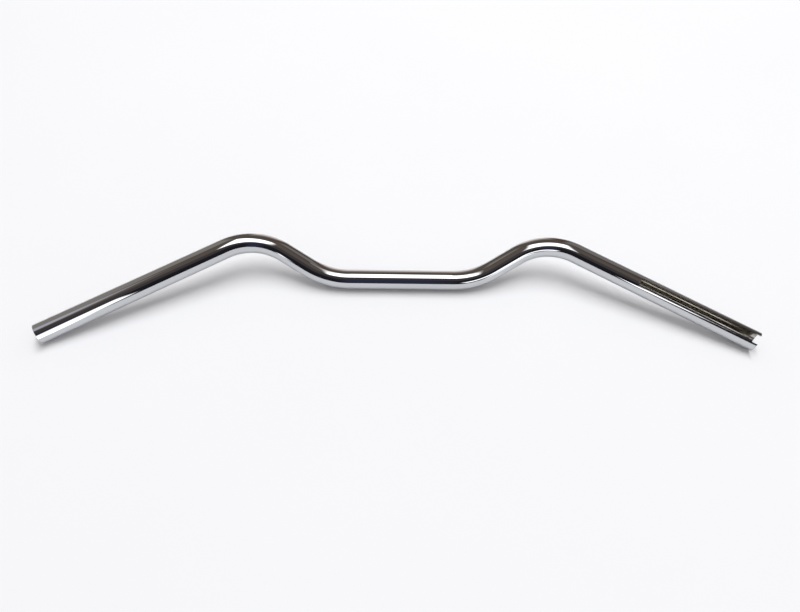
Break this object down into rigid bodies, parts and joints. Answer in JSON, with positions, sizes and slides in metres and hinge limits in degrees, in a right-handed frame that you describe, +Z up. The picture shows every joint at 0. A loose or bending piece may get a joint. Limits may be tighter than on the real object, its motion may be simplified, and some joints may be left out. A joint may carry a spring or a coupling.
{
  "type": "handlebar",
  "caption": "Bright chromed tube handlebar with a straight clamp section, short risers, long swept-back grips, open ends and a throttle slot cut in the right grip.",
  "frame": {"origin": "middle of the straight clamp section, on the tube's axis, one tube radius (11.1 mm) above the surface that the bar lies on", "axes": "+X along the clamp section towards the end with the throttle slot, +Y away from the rider, +Z up from the surface that the bar lies on"},
  "size_m": [0.7638, 0.1322, 0.0507],
  "materials": {
    "chrome": "bright polished chrome plating, with a plain dark grey inside wall"
  },
  "bodies": {
    "root": {"handlebar": "chrome"}
  },
  "joints": []
}
